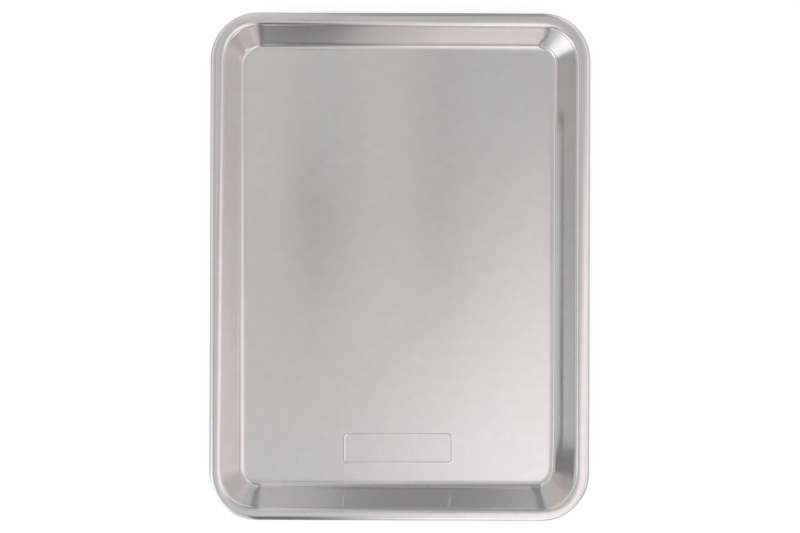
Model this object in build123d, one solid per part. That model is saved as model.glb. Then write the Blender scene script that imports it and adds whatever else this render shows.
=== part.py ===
"""Shallow oblong baking tray: one sheet drawn to a tray, with its rim rolled round a stiffening wire.

The tray stands on Z = 0. Its long sides run along Y, and the stamped panel lies at the -Y end.
Lengths are in millimetres and angles in degrees.
"""

import math
import os

from build123d import *

# The tray over its rolled rim.
outer_length = 375.0
outer_width = 281.0
overall_height = 25.4
outer_corner_radius = 36.0

# The sheet, and how it turns from the floor up the wall and out to the rim.
sheet_gauge = 1.0
wall_slope = 27.0  # from upright, so that trays nest
floor_fillet_radius = 5.0  # inside the tray
rim_bend_radius = 3.0  # on the side that shows
flange_width = 4.35  # flat, from the bend to the crown of the bead

# The wire in the rolled rim.
wire_diameter = 3.0
wire_clearance = 0.05  # all round, inside the roll
curl_slit = 0.3  # from the sheet's cut edge to the underside of the flange
wire_joint_gap = 0.8  # between the wire's two ends, halfway along the +Y short side

# The stamped panel: a raised line round a bare oblong.
panel_length = 81.2
panel_width = 21.3
panel_corner_radius = 2.6
panel_edge_distance = 13.2  # from its line to the edge of the flat floor
panel_line_width = 1.5
panel_line_height = 0.35

# How far a tool or a fused form runs past the face that it meets.
overrun = 0.2

# What follows from those sizes.
bead_inner_radius = wire_diameter / 2 + wire_clearance
bead_outer_radius = bead_inner_radius + sheet_gauge
corner_x = outer_width / 2 - outer_corner_radius
corner_y = outer_length / 2 - outer_corner_radius
wall_turn = 90 - wall_slope
turn_sine = math.sin(math.radians(wall_turn))
turn_cosine = math.cos(math.radians(wall_turn))
wall_low = sheet_gauge + floor_fillet_radius * (1 - turn_cosine)
wall_high = overall_height - rim_bend_radius * (1 - turn_cosine)
wall_run = (wall_high - wall_low) * turn_cosine / turn_sine

# Distances outward from a corner's centre: the roll, the rim bend and the edge of the flat floor.
bead_reach = outer_corner_radius - bead_outer_radius
bend_reach = bead_reach - flange_width
floor_reach = bend_reach - (rim_bend_radius + floor_fillet_radius) * turn_sine - wall_run

# The sheet's cut edge stops where the roll comes back up under the flange.
curl_end = math.degrees(math.asin(1 - (sheet_gauge + curl_slit) / bead_outer_radius))
curl_sweep = 270 + curl_end


def on_circle(centre, radius, angle):
    """The point of a circle at an angle, counted from outward towards up."""
    return (
        centre[0] + radius * math.cos(math.radians(angle)),
        centre[1] + radius * math.sin(math.radians(angle)),
    )


def upright(outline):
    """A flat outline stood up: its first axis points outward along X and its second up along Z."""
    return Plane.XZ * outline


def sheet_section():
    """The sheet from the edge of the flat floor, up the wall and out, to the cut edge inside the roll."""
    fillet = (floor_reach, sheet_gauge + floor_fillet_radius)
    bend = (bend_reach, overall_height - rim_bend_radius)
    bead = (bead_reach, overall_height - bead_outer_radius)
    fillet_end = wall_turn - 90
    bend_start = wall_turn + 90
    cut_edge = 90 - curl_sweep
    under_fillet_radius = floor_fillet_radius + sheet_gauge
    under_bend_radius = rim_bend_radius - sheet_gauge
    under_rim = overall_height - sheet_gauge
    shown = [
        CenterArc(fillet, floor_fillet_radius, -90, wall_turn),
        Line(
            on_circle(fillet, floor_fillet_radius, fillet_end),
            on_circle(bend, rim_bend_radius, bend_start),
        ),
        CenterArc(bend, rim_bend_radius, bend_start, -wall_turn),
        Line((bend_reach, overall_height), (bead_reach, overall_height)),
        CenterArc(bead, bead_outer_radius, 90, -curl_sweep),
        Line(
            on_circle(bead, bead_outer_radius, cut_edge),
            on_circle(bead, bead_inner_radius, cut_edge),
        ),
    ]
    hidden = [
        CenterArc(bead, bead_inner_radius, cut_edge, curl_sweep),
        Line((bead_reach, under_rim), (bend_reach, under_rim)),
        CenterArc(bend, under_bend_radius, 90, wall_turn),
        Line(
            on_circle(bend, under_bend_radius, bend_start),
            on_circle(fillet, under_fillet_radius, fillet_end),
        ),
        CenterArc(fillet, under_fillet_radius, fillet_end, -wall_turn),
        Line((floor_reach, 0), (floor_reach, sheet_gauge)),
    ]
    return upright(make_face(Curve() + shown + hidden))


def wire_section():
    """The round wire, at the middle of the roll."""
    return upright(Pos(bead_reach, overall_height - bead_outer_radius) * Circle(wire_diameter / 2))


def line_section(base, depth):
    """The domed section of the panel's raised line above a level, with a root that goes down by a depth."""
    half = panel_line_width / 2
    dome = [
        Line((-half, base - depth), (half, base - depth)),
        Line((half, base - depth), (half, base)),
        ThreePointArc((half, base), (0, base + panel_line_height), (-half, base)),
        Line((-half, base), (-half, base - depth)),
    ]
    return upright(Pos(panel_corner_radius, 0) * make_face(Curve() + dome))


def around(section, reach_x, reach_y):
    """A section carried round a rounded oblong whose corner centres lie reach_x and reach_y from its middle."""
    placed = Pos(reach_x, reach_y, 0) * section
    turned = Pos(reach_x, reach_y, 0) * Rot(0, 0, 90) * section
    corner = revolve(placed, Axis((reach_x, reach_y, 0), (0, 0, 1)), 90)
    long_side = extrude(placed, reach_y, dir=(0, -1, 0))
    short_side = extrude(turned, reach_x, dir=(-1, 0, 0))
    quarter = corner + long_side + short_side
    half = quarter + mirror(quarter, Plane.YZ)
    return half + mirror(half, Plane.XZ)


def panel_ring(base, depth):
    """The panel's line carried round its oblong, above a level of the floor."""
    middle_y = panel_edge_distance + panel_width / 2 - corner_y - floor_reach
    line = around(
        line_section(base, depth),
        panel_length / 2 - panel_corner_radius,
        panel_width / 2 - panel_corner_radius,
    )
    return Pos(0, middle_y, 0) * line


def pan_sheet():
    """The whole drawn sheet, with the panel's line pressed up through the floor."""
    floor = extrude(
        RectangleRounded(2 * (corner_x + floor_reach), 2 * (corner_y + floor_reach), floor_reach),
        sheet_gauge,
    )
    tray = floor + around(sheet_section(), corner_x, corner_y)
    return tray + panel_ring(sheet_gauge, overrun) - panel_ring(0, overrun)


def rim_wire():
    """The wire hoop, open at its butt joint."""
    hoop = around(wire_section(), corner_x, corner_y)
    joint_size = wire_diameter + 2 * overrun
    joint = Pos(0, corner_y + bead_reach, overall_height - bead_outer_radius) * Box(
        wire_joint_gap, joint_size, joint_size
    )
    return hoop - joint


os.makedirs("parts", exist_ok=True)
export_step(pan_sheet(), "parts/pan_sheet.step")
export_step(rim_wire(), "parts/rim_wire.step")
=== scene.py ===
"""The looks of a rolled-rim baking tray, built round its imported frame. Lengths are in metres.

The tray stands on Z = 0. Its long sides run along Y, and the stamped panel lies at the -Y end.
"""

import math

import bpy
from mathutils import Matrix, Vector, noise


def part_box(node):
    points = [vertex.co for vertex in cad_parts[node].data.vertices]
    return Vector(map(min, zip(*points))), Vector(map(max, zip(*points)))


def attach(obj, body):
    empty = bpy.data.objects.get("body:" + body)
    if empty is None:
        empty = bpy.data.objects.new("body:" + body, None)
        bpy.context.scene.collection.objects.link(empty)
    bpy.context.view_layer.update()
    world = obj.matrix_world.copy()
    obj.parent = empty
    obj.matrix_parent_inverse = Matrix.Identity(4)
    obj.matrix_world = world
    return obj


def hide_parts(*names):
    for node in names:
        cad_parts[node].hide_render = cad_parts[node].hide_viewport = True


MM = 0.001

# Less than any length or angle here, to allow for rounding.
tiny = 1e-9

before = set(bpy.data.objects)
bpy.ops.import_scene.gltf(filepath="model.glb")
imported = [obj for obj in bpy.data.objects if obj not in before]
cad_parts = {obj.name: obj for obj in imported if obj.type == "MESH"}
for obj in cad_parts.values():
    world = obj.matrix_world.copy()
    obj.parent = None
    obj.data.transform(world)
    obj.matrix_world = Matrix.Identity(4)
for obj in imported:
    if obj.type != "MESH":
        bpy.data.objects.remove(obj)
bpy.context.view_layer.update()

# The tray over its rolled rim, from the frame.
sheet_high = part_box("pan_sheet")[1]
half_width = sheet_high.x
half_length = sheet_high.y
rim_height = sheet_high.z
outer_corner_radius = 36.0 * MM

# The sheet's section: arcs from the floor's margin up the wall, over the rim and round the roll.
# An angle that ends in _end is how far the sheet there slopes up, or down if it is under 0.
sheet_gauge = 1.0 * MM
wall_slope = math.radians(27.0)
margin_radius = 18.0 * MM
margin_end = math.radians(9.0)
floor_fillet_radius = 2.8 * MM
bend_radius = 3.2 * MM
bend_end = math.radians(20.0)
brow_radius = 7.0 * MM
brow_end = math.radians(4.0)
flange_radius = 18.0 * MM
flange_end = math.radians(-6.0)
dome_radius = 8.5 * MM
dome_end = math.radians(-20.0)
shoulder_radius = 2.1 * MM
wire_low, wire_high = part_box("rim_wire")
wire_clearance = 0.05 * MM
bead_inner_radius = (wire_high.z - wire_low.z) / 2 + wire_clearance
bead_outer_radius = bead_inner_radius + sheet_gauge
curl_slit = 0.3 * MM

# How the drawing left the walls: how far in their feet and tops stand, and the right wall's fold.
# A corner sets in over so many radians of its arc, and over as much of each side.
corner_ease = 0.24
fold_height = 8.8 * MM
fold_lean = 0.8 * MM
fold_hollow = 0.4 * MM
fold_far_end = 112.0 * MM
fold_near_end = -134.0 * MM
fold_far_fade = 12.0 * MM
fold_near_fade = 17.0 * MM
right_far_foot_in = 0.3 * MM
right_near_foot_in = 1.7 * MM
right_top_in = 1.3 * MM
left_top_in = 0.55 * MM
left_top_turn = 0.004
far_top_in = 0.75 * MM
far_top_turn = 0.006
near_foot_in = 1.0 * MM
near_hollow_height = 5.0 * MM
true_rim_start = 27.5 * MM
true_rim_end = 33.5 * MM

# The stamped panel: a raised line round a bare oblong.
panel_length = 81.2 * MM
panel_width = 21.3 * MM
panel_corner_radius = 2.6 * MM
panel_edge_distance = 13.65 * MM
panel_line_width = 1.5 * MM
panel_line_height = 0.11 * MM

# Corners bowed outward, with a low rim bend, and small dimples where three of them meet the floor.
corner_bow = 0.45 * MM
corner_dip = 0.24 * MM
dip_start = 27.5 * MM
dip_end = 33.0 * MM
dimple_radius = 2.4 * MM
FLOOR_DIMPLES = [
    (108.5 * MM, 167.0 * MM, 0.30 * MM),
    (-107.7 * MM, -165.9 * MM, 0.28 * MM),
    (104.2 * MM, -166.2 * MM, 0.25 * MM),
]

# Faint waves in the floor and walls, and flutes round the corners. Each random pattern has its seed.
floor_wave_height = 0.16 * MM
floor_wave_size = 70 * MM
floor_wave_seed = 3.1
floor_wave_spread = 40 * MM
wall_wave_height = 0.10 * MM
wall_wave_size = 45 * MM
wall_wave_seed = 8.4
flute_height = 0.05 * MM
flute_count = 9
flute_seed = 1.7

# How finely the mesh follows the shape.
margin_steps = 6
fillet_steps = 14
wall_steps = 56
bend_steps = 12
brow_steps = 8
inner_flange_steps = 4
outer_flange_steps = 5
dome_steps = 8
shoulder_steps = 10
side_steps = 2
roll_steps = 28
corner_steps = 36
floor_step = 3.2 * MM
ease_step = 0.8 * MM
ease_run = 10.0 * MM
panel_step = 0.25 * MM
panel_band_margin = 0.4 * MM
floor_ring_count = 5
sharp_angle = math.radians(50)

# The corner centres of the tray's oblong, and distances outward from them.
corner_x = half_width - outer_corner_radius
corner_y = half_length - outer_corner_radius

# The camera, so high over the rim, a little to the left of the middle and towards the far end.
CAMERA_RISE = 0.96
CAMERA_PLACE = (-41.8 * MM, 23.9 * MM, rim_height + CAMERA_RISE)
CAMERA_TURN = math.radians(0.19)
CAMERA_LENS = 58.75
CAMERA_SENSOR = 36.0
CAMERA_SHIFT = (0.0709, -0.0406)


def smooth_step(value, low, high):
    """0 up to low, 1 from high, and a smooth rise between them."""
    share = min(max((value - low) / (high - low), 0.0), 1.0)
    return share * share * (3 - 2 * share)


def arc(radius, from_slope, to_slope, steps):
    """A move along an arc, as walked() takes it: length, turn and how many steps."""
    turn = to_slope - from_slope
    return (radius * abs(turn), turn, steps)


def walked(start, slope, moves):
    """Points along a chain of moves in the section plane, each with the sheet's slope there."""
    reach, height = start
    trail = [(reach, height, slope)]
    for length, turn, steps in moves:
        half = turn / steps / 2
        chord = length / steps * (math.sin(half) / half if half else 1.0)
        for _ in range(steps):
            reach += chord * math.cos(slope + half)
            height += chord * math.sin(slope + half)
            slope += 2 * half
            trail.append((reach, height, slope))
    return trail


def sheet_trail():
    """The face of the sheet that shows, from the floor's edge to the cut edge in the roll."""
    quarter = math.pi / 2
    steepest = quarter - wall_slope
    foot = [
        arc(margin_radius, 0.0, margin_end, margin_steps),
        arc(floor_fillet_radius, margin_end, steepest, fillet_steps),
    ]
    rim = [
        arc(bend_radius, steepest, bend_end, bend_steps),
        arc(brow_radius, bend_end, brow_end, brow_steps),
        arc(flange_radius, brow_end, 0.0, inner_flange_steps),
    ]
    edge = [
        arc(flange_radius, 0.0, flange_end, outer_flange_steps),
        arc(dome_radius, flange_end, dome_end, dome_steps),
        arc(shoulder_radius, dome_end, -quarter, shoulder_steps),
    ]
    foot_run, foot_rise, _ = walked((0.0, 0.0), 0.0, foot)[-1]
    rim_run, rim_rise, _ = walked((0.0, 0.0), steepest, rim)[-1]
    edge_run, edge_rise, _ = walked((0.0, 0.0), 0.0, edge)[-1]
    wall_rise = rim_height - sheet_gauge - foot_rise - rim_rise
    wall_run = wall_rise * math.tan(wall_slope)
    floor_edge = outer_corner_radius - foot_run - wall_run - rim_run - edge_run
    curl_end = math.asin(1 - (sheet_gauge + curl_slit) / bead_outer_radius)
    wall = (math.hypot(wall_run, wall_rise), 0.0, wall_steps)
    side = (bead_outer_radius + edge_rise, 0.0, side_steps)
    roll = arc(bead_outer_radius, -quarter, -3 * quarter - curl_end, roll_steps)
    return walked((floor_edge, sheet_gauge), 0.0, foot + [wall] + rim + edge + [side, roll])


def sheet_side(offset):
    """One face of the sheet, offset below the face that shows."""
    return [
        (reach + offset * math.sin(slope), height - offset * math.cos(slope))
        for reach, height, slope in sheet_trail()
    ]


def run_lengths(points, start):
    """The distance along a run of points at each of them, counted from a start."""
    lengths = [start]
    for before, after in zip(points, points[1:]):
        lengths.append(lengths[-1] + math.dist(before, after))
    return lengths


def graded(low, high, step):
    """Evenly spaced values from low to high, no further apart than a step."""
    count = max(1, math.ceil((high - low) / step - tiny))
    return [low + (high - low) * index / count for index in range(count + 1)]


def banded(edge, bands):
    """Values from -edge to edge, floor_step apart, but closer in the bands and near both ends."""
    stretches = [(-edge, ease_run - edge, ease_step), (edge - ease_run, edge, ease_step)]
    stretches += [(low, high, panel_step) for low, high in bands]
    stops = sorted({place for low, high, _ in stretches for place in (low, high)})
    values = [-edge]
    for low, high in zip(stops, stops[1:]):
        middle = (low + high) / 2
        steps = [step for start, end, step in stretches if start < middle < end]
        values += graded(low, high, min(steps, default=floor_step))[1:]
    return values


def panel_bands(middle, size):
    """The two stretches across the panel's outline that its raised line and corners take up."""
    outer = size / 2 + panel_line_width / 2 + panel_band_margin
    inner = size / 2 - panel_corner_radius - panel_band_margin
    return [(middle - outer, middle - inner), (middle + inner, middle + outer)]


def panel_line_rise(x, y):
    """The height of the panel's raised line over the floor at a place."""
    reach_x = abs(x) - (panel_length / 2 - panel_corner_radius)
    reach_y = abs(y - panel_middle_y) - (panel_width / 2 - panel_corner_radius)
    inside = min(max(reach_x, reach_y), 0.0)
    from_line = math.hypot(max(reach_x, 0.0), max(reach_y, 0.0)) + inside - panel_corner_radius
    share = min(abs(from_line) / (panel_line_width / 2 + panel_band_margin / 2), 1.0)
    return panel_line_height * (1 + math.cos(math.pi * share)) / 2


# The edge of the flat floor, outward from the corner centres, and the panel's middle.
floor_reach = sheet_trail()[0][0]
panel_middle_y = panel_edge_distance + panel_width / 2 - corner_y - floor_reach


def edge_distance(x, y):
    """How far a place on the floor lies inside the floor's edge."""
    reach_x = max(abs(x) - corner_x, 0.0)
    reach_y = max(abs(y) - corner_y, 0.0)
    if reach_x > 0 or reach_y > 0:
        return floor_reach - math.hypot(reach_x, reach_y)
    return floor_reach + min(corner_x - abs(x), corner_y - abs(y))


def waviness(x, y, size, seed):
    """A smooth random value from about -1 to 1 that changes over a size."""
    return noise.noise(Vector((x / size, y / size, seed)))


def floor_rise(x, y):
    """How far the floor stands above flat: its slight springiness and the panel's line."""
    spread = smooth_step(edge_distance(x, y), 0.0, floor_wave_spread)
    wave = 0.5 + 0.5 * waviness(x, y, floor_wave_size, floor_wave_seed)
    return floor_wave_height * wave * spread + panel_line_rise(x, y)


def eased(origin, outward, reach):
    """How far the sheet stands inward of a plain arc, so that the corner's curve sets in softly.

    The curvature rises evenly over the ease, half of it on the side and half in the corner.
    """
    turned = math.atan2(abs(outward.y), abs(outward.x))
    into_corner = min(turned, math.pi / 2 - turned)
    if into_corner > tiny:
        share = min(into_corner / corner_ease, 1.0)
        return reach * corner_ease ** 2 / 6 * (1 - (1 - share) ** 3 / 2)
    gap = corner_x - abs(origin.x)
    if abs(outward.x) > abs(outward.y):
        gap = corner_y - abs(origin.y)
    share = min(gap / (corner_ease * max(reach, tiny)), 1.0)
    return reach * corner_ease ** 2 / 12 * (1 - share) ** 3


def right_wall_in(y, rise, climbed):
    """How far in the right wall stands: folded along a faint ridge, but plain towards both corners."""
    far = smooth_step(y, fold_far_end - fold_far_fade, fold_far_end + fold_far_fade)
    near = smooth_step(y, fold_near_end + fold_near_fade, fold_near_end - fold_near_fade)
    below = max(1 - rise / fold_height, 0.0)
    folded = fold_lean * below + fold_hollow * below ** 3
    plain = (far * right_far_foot_in + near * right_near_foot_in) * (1 - climbed)
    return folded * (1 - far) * (1 - near) + plain + right_top_in * climbed


def stood_in(origin, outward, height):
    """How far in of true the foot, wall and rim bend stand. Each corner lies between its two sides."""
    rise = max(height - sheet_gauge, 0.0)
    climbed = min(rise / (rim_height - sheet_gauge), 1.0)
    right = right_wall_in(origin.y, rise, climbed)
    left = (left_top_in + left_top_turn * origin.y) * climbed
    far = (far_top_in + far_top_turn * origin.x) * climbed
    near = near_foot_in * max(1 - rise / near_hollow_height, 0.0) ** 3
    return (
        right * max(outward.x, 0.0) ** 2
        + left * min(outward.x, 0.0) ** 2
        + far * max(outward.y, 0.0) ** 2
        + near * min(outward.y, 0.0) ** 2
    )


def cornerness(outward):
    """0 along the sides and 1 at the middle of each corner."""
    return 4 * outward.x ** 2 * outward.y ** 2


def uneven(x, y, outward, height):
    """How far in the wall stands for its waves, flutes, bowed corners and dimples."""
    climbed = min(max((height - sheet_gauge) / (rim_height - sheet_gauge), 0.0), 1.0)
    share = 4 * climbed * (1 - climbed)
    wave = 0.5 + 0.5 * waviness(x, y, wall_wave_size, wall_wave_seed)
    flute = noise.noise(Vector((outward.x * flute_count, outward.y * flute_count, flute_seed)))
    bow = cornerness(outward) * (flute_height * flute - corner_bow)
    inward = share * (wall_wave_height * wave + bow)
    for middle_x, middle_y, depth in FLOOR_DIMPLES:
        apart = math.hypot(x - middle_x, y - middle_y) / dimple_radius
        inward += depth * math.exp(-apart * apart)
    return inward


def dipped(outward, reach, height):
    """How far the sheet is pressed down round a corner, inward of the bead's crown."""
    climbed = smooth_step(height, sheet_gauge, rim_height)
    within = 1 - smooth_step(reach, dip_start, dip_end)
    return corner_dip * cornerness(outward) * climbed * within


def stations(grid_x, grid_y):
    """Places round the tray, anticlockwise.

    Each is a corner centre or side point, the outward direction, and its place in the grid.
    """
    last_x, last_y = len(grid_x) - 1, len(grid_y) - 1
    places = []
    sides = [
        ([(last_x, index) for index in range(last_y + 1)], 0.0),
        ([(index, last_y) for index in range(last_x, -1, -1)], math.pi / 2),
        ([(0, index) for index in range(last_y, -1, -1)], math.pi),
        ([(index, 0) for index in range(last_x + 1)], 3 * math.pi / 2),
    ]
    for cells, angle in sides:
        for cell in cells:
            places.append((cell, angle))
        for step in range(1, corner_steps):
            places.append((cells[-1], angle + math.pi / 2 * step / corner_steps))
    made = []
    for cell, angle in places:
        origin = Vector((grid_x[cell[0]], grid_y[cell[1]]))
        made.append((origin, Vector((math.cos(angle), math.sin(angle))), cell))
    return made


class SheetMesh:
    """Gathers the points, faces and grain coordinates of the drawn sheet."""

    def __init__(self, grid_x, grid_y):
        self.grid_x = grid_x
        self.grid_y = grid_y
        self.stations = stations(grid_x, grid_y)
        self.points = []
        self.grain = []
        self.faces = []

    def add_point(self, place, grain):
        self.points.append(place)
        self.grain.append(grain)
        return len(self.points) - 1

    def add_ring(self, reach, height, developed):
        """A ring of points round the tray at a reach and a height. Gives their numbers."""
        ring = []
        for origin, outward, _ in self.stations:
            flat = origin + outward * reach
            inward = eased(origin, outward, reach)
            inward += stood_in(origin, outward, height) * min(reach / floor_reach, 1.0)
            inward *= 1 - smooth_step(reach, true_rim_start, true_rim_end)
            if reach > floor_reach:
                lift = -dipped(outward, reach, height)
                inward += uneven(flat.x, flat.y, outward, height)
            else:
                lift = floor_rise(flat.x, flat.y)
            shifted = origin + outward * (reach - inward)
            grain = origin + outward * developed
            ring.append(self.add_point((shifted.x, shifted.y, height + lift), grain))
        return ring

    def add_grid(self, height):
        """The floor's middle as a grid of points. Gives their numbers by column and row."""
        return [
            [self.add_point((x, y, height + floor_rise(x, y)), Vector((x, y))) for y in self.grid_y]
            for x in self.grid_x
        ]

    def join_rings(self, inner, outer, upward):
        """Faces between two rings, facing up or down where they are flat."""
        count = len(inner)
        for index in range(count):
            after = (index + 1) % count
            corners = [inner[index], outer[index], outer[after], inner[after]]
            self.add_face(corners, upward)

    def add_face(self, corners, upward):
        unlike = [corner for place, corner in enumerate(corners) if corner != corners[place - 1]]
        if len(unlike) > 2:
            self.faces.append(unlike if upward else unlike[::-1])

    def add_floor(self, height, edge_ring, upward):
        """One face of the floor, from the middle grid out to the ring at its edge."""
        grid = self.add_grid(height)
        inner = [grid[cell[0]][cell[1]] for _, _, cell in self.stations]
        for step in range(1, floor_ring_count):
            reach = floor_reach * step / floor_ring_count
            outer = self.add_ring(reach, height, reach)
            self.join_rings(inner, outer, upward)
            inner = outer
        self.join_rings(inner, edge_ring, upward)
        for column, after_column in zip(grid, grid[1:]):
            for row in range(len(column) - 1):
                corners = [column[row], after_column[row], after_column[row + 1], column[row + 1]]
                self.add_face(corners, upward)


def build_sheet():
    """The drawn sheet as one closed mesh, from the floor's panel line to the cut edge in the roll."""
    mesh = SheetMesh(
        banded(corner_x, panel_bands(0.0, panel_length)),
        banded(corner_y, panel_bands(panel_middle_y, panel_width)),
    )
    shown, hidden = sheet_side(0.0), sheet_side(sheet_gauge)
    shown_lengths = run_lengths(shown, floor_reach)
    hidden_lengths = run_lengths(hidden, floor_reach)
    stretch = (shown_lengths[-1] - floor_reach) / (hidden_lengths[-1] - floor_reach)
    section = list(zip(shown, shown_lengths))
    for point, length in reversed(list(zip(hidden, hidden_lengths))):
        section.append((point, floor_reach + (length - floor_reach) * stretch))
    rings = [mesh.add_ring(point[0], point[1], length) for point, length in section]
    for inner, outer in zip(rings, rings[1:]):
        mesh.join_rings(inner, outer, True)
    mesh.add_floor(sheet_gauge, rings[0], True)
    mesh.add_floor(0.0, rings[-1], False)
    return finished_mesh("pan_sheet_drawn", mesh)


def finished_mesh(name, gathered):
    """A Blender object from the gathered points and faces, with its grain coordinates as a UV map."""
    data = bpy.data.meshes.new(name)
    data.from_pydata(gathered.points, [], gathered.faces)
    layer = data.uv_layers.new(name="grain")
    for loop in data.loops:
        place = gathered.grain[loop.vertex_index]
        layer.data[loop.index].uv = (place.y, place.x)
    data.shade_smooth()
    data.set_sharp_from_angle(angle=sharp_angle)
    made = bpy.data.objects.new(name, data)
    bpy.context.scene.collection.objects.link(made)
    return made


class Graph:
    """Adds nodes to a shader's node tree. Most calls give the new node's output."""

    def __init__(self, tree):
        self.tree = tree

    def node(self, kind, inputs=None, **settings):
        made = self.tree.nodes.new(kind)
        for name, value in settings.items():
            setattr(made, name, value)
        for key, value in (inputs or {}).items():
            self.feed(made.inputs[key], value)
        return made

    def feed(self, socket, value):
        """Sets an input to a plain value, or links an output to it."""
        if isinstance(value, bpy.types.NodeSocket):
            self.tree.links.new(value, socket)
        else:
            socket.default_value = value

    def math(self, operation, first, second=0.0):
        return self.node("ShaderNodeMath", {0: first, 1: second}, operation=operation).outputs[0]

    def fade(self, value, low, high, to_low=0.0, to_high=1.0):
        """A smooth change from to_low to to_high while the value goes from low to high."""
        made = self.node(
            "ShaderNodeMapRange",
            {"Value": value, "From Min": low, "From Max": high, "To Min": to_low, "To Max": to_high},
            interpolation_type="SMOOTHSTEP",
        )
        return made.outputs["Result"]

    def blend(self, share, first, second):
        """A number between two."""
        made = self.node("ShaderNodeMix", {"Factor": share, 2: first, 3: second}, data_type="FLOAT")
        return made.outputs[0]

    def mix(self, share, first, second):
        """A colour between two. The node has its colour sockets after those for numbers and vectors."""
        made = self.node("ShaderNodeMix", {"Factor": share}, data_type="RGBA")
        self.feed(made.inputs[6], first)
        self.feed(made.inputs[7], second)
        return made.outputs[2]

    def noise(self, vector, scale, detail=2.0, roughness=0.5):
        """Noise from 0 to 1, at so many waves a metre along each axis."""
        placed = self.node("ShaderNodeMapping", {"Vector": vector, "Scale": scale}).outputs[0]
        made = self.node(
            "ShaderNodeTexNoise",
            {"Vector": placed, "Scale": 1.0, "Detail": detail, "Roughness": roughness},
        )
        return made.outputs["Fac"]


def grey(level, tint=(1.0, 1.0, 1.0)):
    """A colour of a brightness and a faint tint."""
    return (level * tint[0], level * tint[1], level * tint[2], 1.0)


def new_material(name):
    """A material with one Principled shader. Gives the material, its graph and the shader."""
    material = bpy.data.materials.new(name)
    material.use_nodes = True
    return material, Graph(material.node_tree), material.node_tree.nodes["Principled BSDF"]


# The aluminium's markings, in waves a metre along the tray and across it.
grain_waves = (2600.0, 28.0, 1.0)
cloud_waves = (16.0, 22.0, 1.0)
mottle_waves = (130.0, 100.0, 1.0)
stain_waves = (30.0, 40.0, 1.0)
blush_waves = (40.0, 50.0, 1.0)
fine_detail = 3.0
stain_detail = 4.0
blush_detail = 6.0
coarse = 0.6
coarser = 0.7

# From which value of its noise each marking sets in, and at which it is full.
grain_range = (0.25, 0.75)
mottle_range = (0.35, 0.65)
stain_range = (0.56, 0.74)
blush_range = (0.36, 0.64)

# The clean metal's two shades, the shades that the markings pull it towards by a share at most, and a
# painted shade for the faces turned downward.
CLEAN_WARM = grey(0.89, (0.99, 0.995, 0.98))
CLEAN_COOL = grey(0.92, (0.985, 1.0, 1.0))
MOTTLED = grey(0.86, (1.0, 0.99, 0.985))
STAINED = grey(0.86, (1.0, 0.95, 0.945))
BLUSHED = grey(0.905, (1.0, 0.935, 0.955))
# Painted shade: faces turned downward, such as the outside of the walls and the underside, are painted
# a darker grey.
PAINTED_SHADE_BELOW = grey(0.74)
mottle_share = 0.55
stain_share = 0.4
blush_share = 0.6
# The painted shade below begins where faces turn level, and it is full where they turn a little
# downward.
painted_shade_facing = (0.0, -0.2)

# How rough it is on the floor, on the walls and rim, and where the corners' walls were strained.
floor_roughness = (0.135, 0.155)
worked_roughness = (0.11, 0.14)
strained_roughness = 0.21
worked_heights = (1.6 * MM, 5.0 * MM)
below_rim_heights = (24.0 * MM, 21.0 * MM)
corner_range = (-2.0 * MM, 6.0 * MM)
grain_height = 0.0006 * MM
grain_strength = 0.5
grain_stretch = 0.7

# The wire's zinc, with its spangle in waves a metre.
spangle_waves = (700.0, 700.0, 700.0)
spangle_range = (0.3, 0.7)
zinc_roughness = (0.38, 0.52)
ZINC_DARK = grey(0.46, (0.98, 1.0, 1.02))
ZINC_PALE = grey(0.62)


def aluminium():
    """Satin aluminium with grain across the tray, faint markings, burnished walls and rim, and a
    painted shade on faces turned downward.
    """
    material, graph, shader = new_material("drawn_aluminium")
    grain = graph.node("ShaderNodeUVMap", uv_map="grain").outputs[0]
    fine = graph.noise(grain, grain_waves, fine_detail)
    cloud = graph.noise(grain, cloud_waves, fine_detail)
    mottle = graph.noise(grain, mottle_waves, fine_detail, coarse)
    stain = graph.noise(grain, stain_waves, stain_detail, coarse)
    blush = graph.noise(grain, blush_waves, blush_detail, coarser)
    geometry = graph.node("ShaderNodeNewGeometry").outputs
    place = graph.node("ShaderNodeSeparateXYZ", {0: geometry["Position"]}).outputs
    facing = graph.node("ShaderNodeSeparateXYZ", {0: geometry["Normal"]}).outputs

    shade = graph.mix(cloud, CLEAN_WARM, CLEAN_COOL)
    shade = graph.mix(graph.fade(mottle, *mottle_range, 0.0, mottle_share), shade, MOTTLED)
    shade = graph.mix(graph.fade(stain, *stain_range, 0.0, stain_share), shade, STAINED)
    shade = graph.mix(graph.fade(blush, *blush_range, 0.0, blush_share), shade, BLUSHED)
    # Painted shade: a darker grey where the surface faces downward.
    shade = graph.mix(graph.fade(facing["Z"], *painted_shade_facing), shade, PAINTED_SHADE_BELOW)
    graph.feed(shader.inputs["Base Color"], shade)

    past_x = graph.math("SUBTRACT", graph.math("ABSOLUTE", place["X"]), corner_x)
    past_y = graph.math("SUBTRACT", graph.math("ABSOLUTE", place["Y"]), corner_y)
    worked = graph.fade(place["Z"], *worked_heights)
    cornered = graph.fade(graph.math("MINIMUM", past_x, past_y), *corner_range)
    below_rim = graph.fade(place["Z"], *below_rim_heights)
    strained = graph.math("MULTIPLY", worked, graph.math("MULTIPLY", cornered, below_rim))
    rough_floor = graph.fade(fine, *grain_range, *floor_roughness)
    rough_worked = graph.fade(fine, *grain_range, *worked_roughness)
    rough = graph.blend(worked, rough_floor, rough_worked)
    graph.feed(shader.inputs["Roughness"], graph.blend(strained, rough, strained_roughness))

    bump = graph.node(
        "ShaderNodeBump",
        {"Height": fine, "Distance": grain_height, "Strength": grain_strength},
    )
    graph.feed(shader.inputs["Normal"], bump.outputs[0])
    tangent = graph.node("ShaderNodeTangent", direction_type="UV_MAP", uv_map="grain").outputs[0]
    graph.feed(shader.inputs["Tangent"], tangent)
    shader.inputs["Metallic"].default_value = 1.0
    shader.inputs["Anisotropic"].default_value = grain_stretch
    return material


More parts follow.
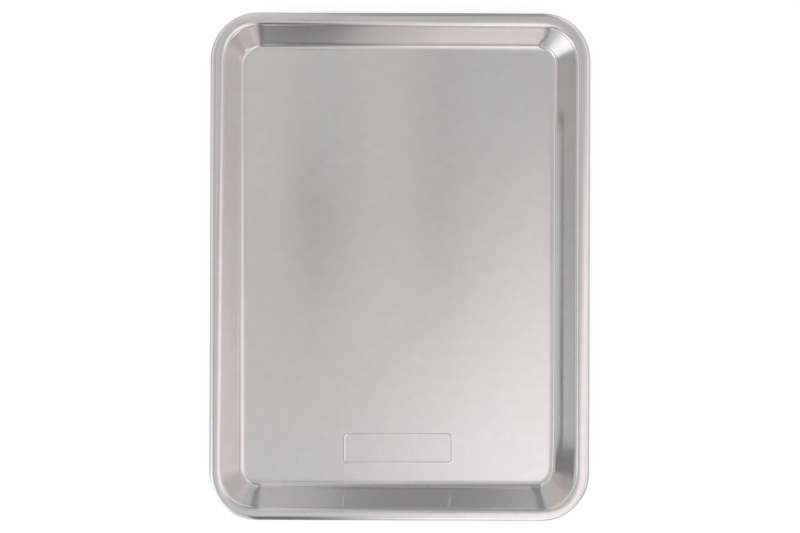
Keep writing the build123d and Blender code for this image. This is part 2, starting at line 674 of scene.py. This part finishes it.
def galvanised():
    """Dull zinc on drawn steel wire, with its spangle."""
    material, graph, shader = new_material("galvanised_wire")
    place = graph.node("ShaderNodeNewGeometry").outputs["Position"]
    spangle = graph.noise(place, spangle_waves)
    graph.feed(shader.inputs["Base Color"], graph.mix(spangle, ZINC_DARK, ZINC_PALE))
    graph.feed(shader.inputs["Roughness"], graph.fade(spangle, *spangle_range, *zinc_roughness))
    shader.inputs["Metallic"].default_value = 1.0
    return material


# What stands round and over the tray, as oblongs on a plane overhead at unit height: middle, half
# size, soft edge, brightness and tint. Later ones lie over earlier ones. Directions that rise less
# than lowest_rise are taken to rise by that much.
lowest_rise = 0.30
WARM = (1.0, 0.965, 0.945)
PINK = (1.0, 0.93, 0.92)
ROSE = (1.0, 0.955, 0.975)
COOL = (0.975, 0.985, 1.0)
PLAIN = (0.99, 0.995, 1.0)
BEIGE = (1.0, 0.90, 0.81)
CLAY = (1.0, 0.88, 0.86)
SAND = (1.0, 0.92, 0.85)
SKY = (0.96, 0.985, 1.01)
AROUND = [
    ("ceiling front", (-0.45, -0.55), (0.50, 0.42), (0.08, 0.06), 0.60, PLAIN),
    ("back wall", (0.0, 2.2), (3.4, 1.5), (0.5, 0.3), 0.53, COOL),
    ("back board", (-0.32, 1.0), (0.27, 0.68), (0.07, 0.15), 0.67, PLAIN),
    ("back stand", (0.15, 2.0), (0.16, 1.60), (0.07, 0.13), 0.33, COOL),
    ("stand foot", (0.17, 3.05), (0.21, 0.60), (0.06, 0.20), 0.24, COOL),
    ("right wall", (2.4, 0.3), (1.5, 1.9), (0.4, 0.4), 0.57, PINK),
    ("right front", (1.5, -2.2), (1.4, 1.4), (0.2, 0.4), 0.57, CLAY),
    ("right foot", (2.65, -2.65), (0.75, 0.75), (0.15, 0.15), 1.05, PLAIN),
    ("right window", (2.3, -0.27), (0.80, 0.27), (0.10, 0.25), 0.80, PINK),
    ("right panel", (1.15, -0.70), (0.30, 0.58), (0.10, 0.15), 0.45, CLAY),
    ("right corner", (1.6, 2.35), (0.40, 0.30), (0.15, 0.12), 0.80, COOL),
    ("right light", (0.75, -0.05), (0.32, 0.50), (0.15, 0.20), 0.76, PLAIN),
    ("left wall", (-2.6, 0.1), (1.25, 0.9), (0.25, 0.3), 0.45, SKY),
    ("beige case", (-2.4, 0.74), (0.80, 0.62), (0.20, 0.09), 0.45, SAND),
    ("left sill", (-1.65, -0.17), (0.20, 0.09), (0.08, 0.06), 0.57, SKY),
    ("left end", (-3.3, -0.14), (0.80, 0.36), (0.12, 0.10), 0.60, SKY),
    ("beige door", (-1.6, 2.05), (1.1, 0.7), (0.3, 0.4), 0.57, BEIGE),
    ("front panel", (0.22, -1.2), (0.14, 0.58), (0.08, 0.10), 0.90, PINK),
    ("front left", (-1.2, -2.2), (1.2, 1.4), (0.06, 0.3), 0.66, COOL),
    ("front figure", (-0.085, -2.12), (0.095, 0.42), (0.035, 0.05), 0.08, COOL),
    ("front feet", (-0.05, -3.10), (0.13, 0.64), (0.05, 0.10), 0.20, COOL),
    ("front head", (-0.08, -0.90), (0.08, 0.46), (0.035, 0.08), 0.14, COOL),
    ("lamp rim", (-0.85, -0.88), (0.26, 0.26), (0.12, 0.12), 1.25, COOL),
    ("back light", (0.62, 0.80), (0.28, 0.28), (0.12, 0.12), 0.85, PLAIN),
    ("back left light", (-0.82, 0.72), (0.24, 0.28), (0.10, 0.12), 0.74, PLAIN),
    ("left lamp", (-1.62, -1.25), (0.80, 0.77), (0.42, 0.18), 1.4, COOL),
    ("left post", (-2.11, -0.02), (0.22, 0.25), (0.07, 0.06), 0.20, BEIGE),
    ("left shelf", (-2.16, -0.40), (0.20, 0.24), (0.06, 0.07), 0.07, COOL),
    ("ceiling shade", (0.17, 0.16), (0.09, 0.10), (0.05, 0.04), 0.485, COOL),
    ("ceiling glow", (0.42, -0.55), (0.36, 0.47), (0.10, 0.11), 0.99, ROSE),
    ("glow shade", (0.48, -0.34), (0.14, 0.26), (0.08, 0.08), 0.76, ROSE),
    ("glow end", (0.30, -0.90), (0.24, 0.12), (0.06, 0.08), 1.25, COOL),
    ("side glow", (0.38, -0.08), (0.19, 0.12), (0.09, 0.08), 0.95, PINK),
    ("left light", (-0.75, 0.0), (0.28, 0.40), (0.08, 0.2), 0.74, COOL),
    ("left glow", (-0.66, -0.32), (0.30, 0.14), (0.10, 0.08), 1.10, COOL),
    ("ceiling strip", (-0.27, 0.0), (0.06, 0.5), (0.04, 0.2), 0.42, COOL),
    ("camera arm", (-0.012, 0.14), (0.018, 0.16), (0.016, 0.05), 0.49, COOL),
    ("camera", (-0.022, 0.010), (0.015, 0.030), (0.012, 0.03), 0.15, COOL),
    ("ceiling joint", (0.074, 0.06), (0.012, 0.12), (0.016, 0.04), 0.37, COOL),
]
CEILING = grey(0.565, WARM)


def surroundings():
    """The world: a soft studio that the metal mirrors, white where the camera sees it."""
    world = bpy.data.worlds.new("studio")
    world.use_nodes = True
    bpy.context.scene.world = world
    graph = Graph(world.node_tree)
    generated = graph.node("ShaderNodeTexCoord").outputs["Generated"]
    direction = graph.node("ShaderNodeSeparateXYZ", {0: generated}).outputs
    rise = graph.math("MAXIMUM", direction["Z"], lowest_rise)
    across = graph.math("DIVIDE", direction["X"], rise)
    along = graph.math("DIVIDE", direction["Y"], rise)
    colour = CEILING
    for _, middle, half, soft, level, tint in AROUND:
        masks = []
        for place, centre, size, edge in zip((across, along), middle, half, soft):
            distance = graph.math("ABSOLUTE", graph.math("SUBTRACT", place, centre))
            masks.append(graph.fade(distance, size + edge, size - edge))
        colour = graph.mix(graph.math("MULTIPLY", *masks), colour, grey(level, tint))
    seen = graph.node("ShaderNodeLightPath").outputs["Is Camera Ray"]
    shown = graph.mix(seen, colour, grey(1.0))
    background = world.node_tree.nodes["Background"]
    graph.feed(background.inputs["Color"], shown)


# The table: how far it reaches each way, its shade, and its glow where it is seen or mirrored.
table_reach = 3.0
TABLE_SHADE = grey(0.82)
table_roughness = 0.9
table_glow = 0.54


def white_floor():
    """The pale surface that the tray stands on, seen as white but for the tray's faint shadow."""
    ways = [(-1, -1), (1, -1), (1, 1), (-1, 1)]
    corners = [(x * table_reach, y * table_reach, 0) for x, y in ways]
    data = bpy.data.meshes.new("table")
    data.from_pydata(corners, [], [range(len(corners))])
    table = bpy.data.objects.new("table", data)
    bpy.context.scene.collection.objects.link(table)
    material, graph, shader = new_material("table_white")
    shader.inputs["Base Color"].default_value = TABLE_SHADE
    shader.inputs["Roughness"].default_value = table_roughness
    path = graph.node("ShaderNodeLightPath")
    sight = graph.math("MAXIMUM", path.outputs["Is Camera Ray"], path.outputs["Is Glossy Ray"])
    sight = graph.math("MAXIMUM", sight, path.outputs["Is Transmission Ray"])
    shader.inputs["Emission Color"].default_value = grey(1.0)
    graph.feed(shader.inputs["Emission Strength"], graph.math("MULTIPLY", sight, table_glow))
    data.materials.append(material)


def place_camera():
    """The camera at the photograph's viewing angle."""
    data = bpy.data.cameras.new("camera")
    data.lens = CAMERA_LENS
    data.sensor_width = CAMERA_SENSOR
    data.shift_x, data.shift_y = CAMERA_SHIFT
    camera = bpy.data.objects.new("camera", data)
    camera.location = CAMERA_PLACE
    camera.rotation_euler = (0.0, 0.0, CAMERA_TURN)
    bpy.context.scene.collection.objects.link(camera)
    bpy.context.scene.camera = camera


place_camera()
surroundings()
white_floor()
bpy.context.scene.view_settings.view_transform = "Standard"

pan = build_sheet()
pan.data.materials.append(aluminium())
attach(pan, "root")
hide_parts("pan_sheet")

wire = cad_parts["rim_wire"]
wire.material_slots[0].material = galvanised()
